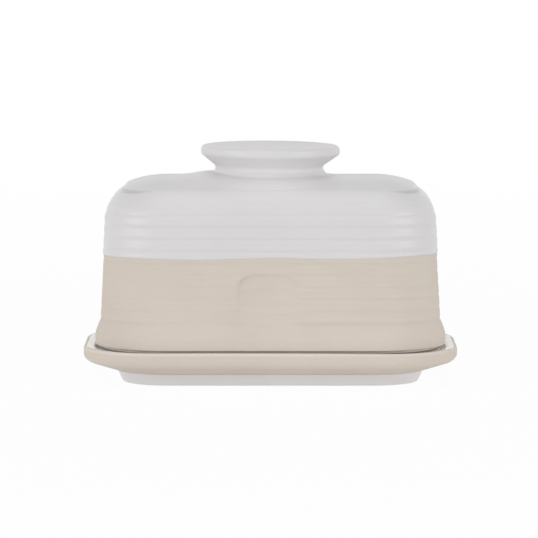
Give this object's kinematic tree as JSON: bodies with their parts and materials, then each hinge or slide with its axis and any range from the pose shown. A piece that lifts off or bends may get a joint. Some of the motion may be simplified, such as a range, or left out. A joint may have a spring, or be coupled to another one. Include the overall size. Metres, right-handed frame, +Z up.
{
  "type": "covered butter dish",
  "caption": "Stoneware butter dish: shallow footed tray and a ribbed lift-off box cover with a wide flared knob, upper half white glaze over bare clay.",
  "frame": {"origin": "on the table under the middle of the tray's foot", "axes": "+X along the long side, +Y from the side with the pressed pad to the back, +Z up"},
  "size_m": [0.194, 0.112, 0.1221],
  "materials": {
    "bare_clay": "matt bare stoneware",
    "white_glaze": "satin white glaze"
  },
  "bodies": {
    "dish": {"tray": "bare_clay", "tray_glaze": "white_glaze", "foot_glaze": "white_glaze"},
    "lid": {"cover": "bare_clay", "cover_glaze": "white_glaze", "knob": "white_glaze"}
  },
  "joints": [
    {"name": "cover_lift", "type": "slide", "parent": "dish", "child": "lid", "axis": [0, 0, 1], "range_m": [0, 0.12]}
  ]
}
